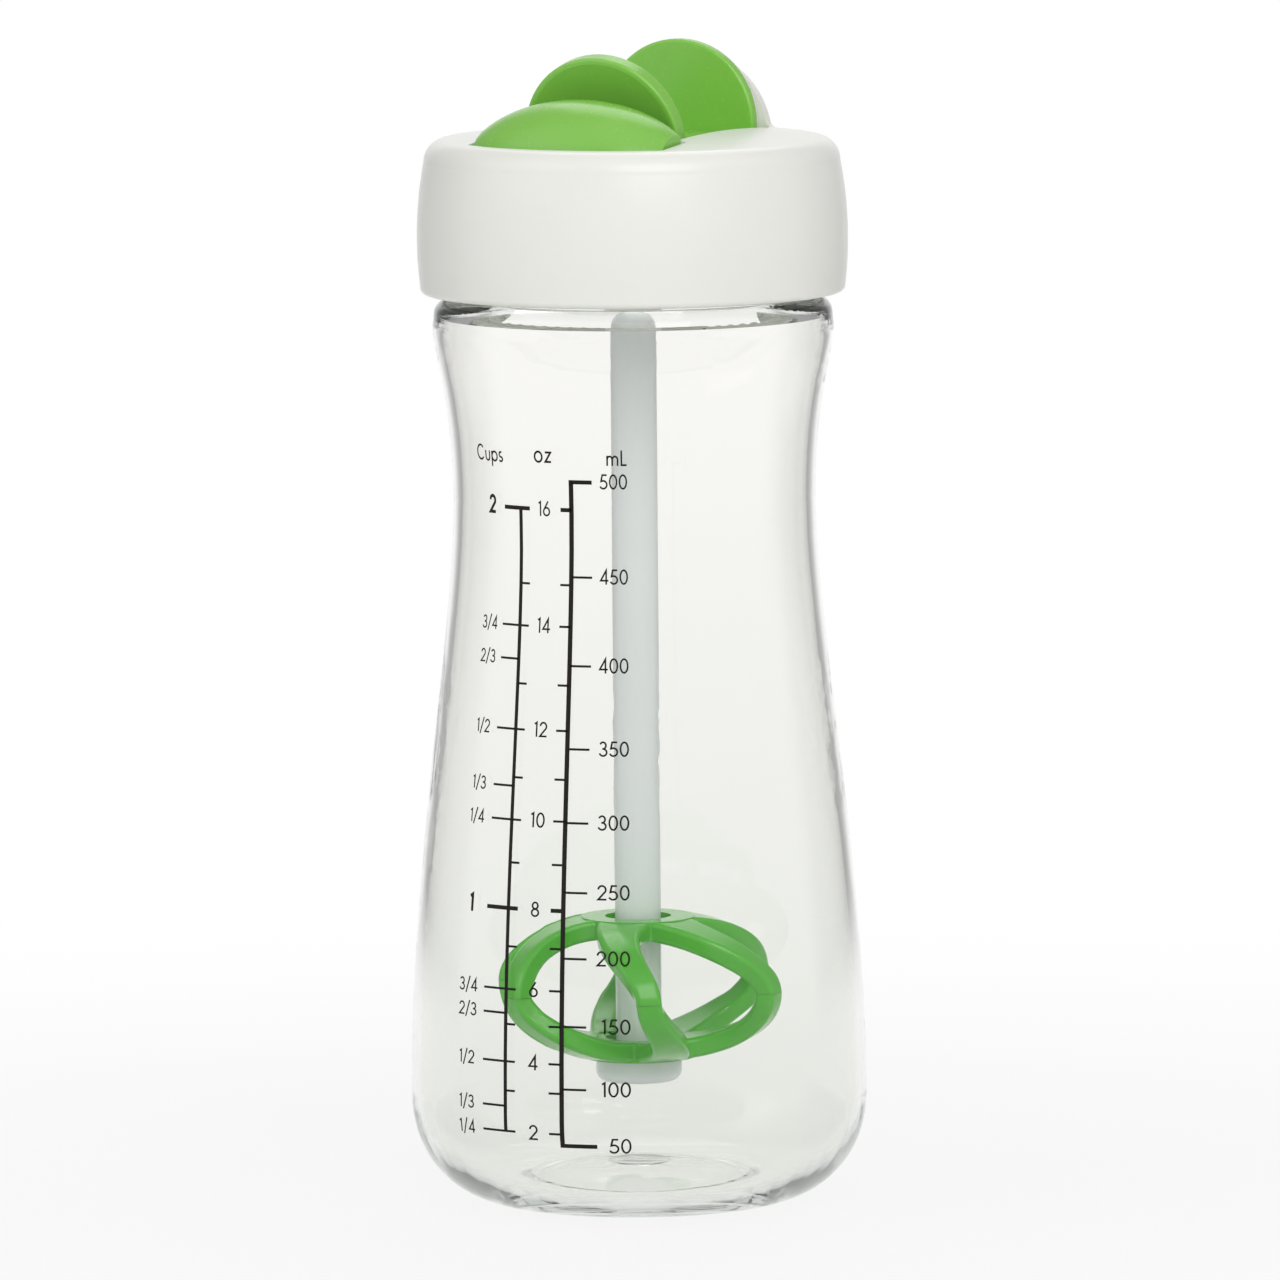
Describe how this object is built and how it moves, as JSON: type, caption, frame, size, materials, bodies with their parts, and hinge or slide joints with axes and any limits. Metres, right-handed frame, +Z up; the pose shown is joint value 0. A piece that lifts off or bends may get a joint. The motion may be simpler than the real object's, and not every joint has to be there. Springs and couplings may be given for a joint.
{
  "type": "salad dressing shaker bottle",
  "caption": "Clear waisted shaker bottle with printed volume scales, white screw cap, green flip spout lever and a hanging tube with a loose green mixing head.",
  "frame": {"origin": "centre of the base ring, on the surface the bottle stands on", "axes": "+Z up along the bottle, +X towards the spout hood, so the thumb pad is on the -X side and the lever's hinge pin lies along Y"},
  "size_m": [0.08, 0.08, 0.2031],
  "materials": {
    "clear_plastic": "clear, polished",
    "white_plastic": "satin white moulding",
    "green_plastic": "glossy green moulding",
    "pale_plastic": "slightly milky moulding",
    "soft_seal": "matt silicone",
    "steel": "drawn wire"
  },
  "bodies": {
    "bottle": {"bottle": "clear_plastic"},
    "cap_lift_ring": {"cap_gasket": "soft_seal"},
    "cap": {"cap_cover": "white_plastic", "cap_base": "white_plastic", "lever_pin": "steel"},
    "lever": {"spout_lever": "green_plastic", "spout_seal": "soft_seal"},
    "tube": {"mixing_tube": "pale_plastic", "tube_foot": "pale_plastic"},
    "whisk": {"whisk_upper": "green_plastic", "whisk_lower": "green_plastic"}
  },
  "joints": [
    {"name": "cap_lift", "type": "slide", "parent": "bottle", "child": "cap_lift_ring", "axis": [0, 0, 1], "range_m": [0, 0.006]},
    {"name": "cap_turn", "type": "hinge", "parent": "cap_lift_ring", "child": "cap", "pos_m": [0, 0, 0.165], "axis": [0, 0, 1], "range_deg": [0, 540]},
    {"name": "lever_tilt", "type": "hinge", "parent": "cap", "child": "lever", "pos_m": [-0.0125, 0, 0.1826], "axis": [0, -1, 0], "range_deg": [0, 15]},
    {"name": "tube_spin", "type": "hinge", "parent": "cap", "child": "tube", "pos_m": [0, 0, 0.16], "axis": [0, 0, 1], "continuous": true},
    {"name": "whisk_slide", "type": "slide", "parent": "tube", "child": "whisk", "axis": [0, 0, 1], "range_m": [0, 0.103]}
  ],
  "couplings": [
    {"joint": "cap_lift", "follows": "cap_turn", "m_per_rad": 0.0006366}
  ]
}
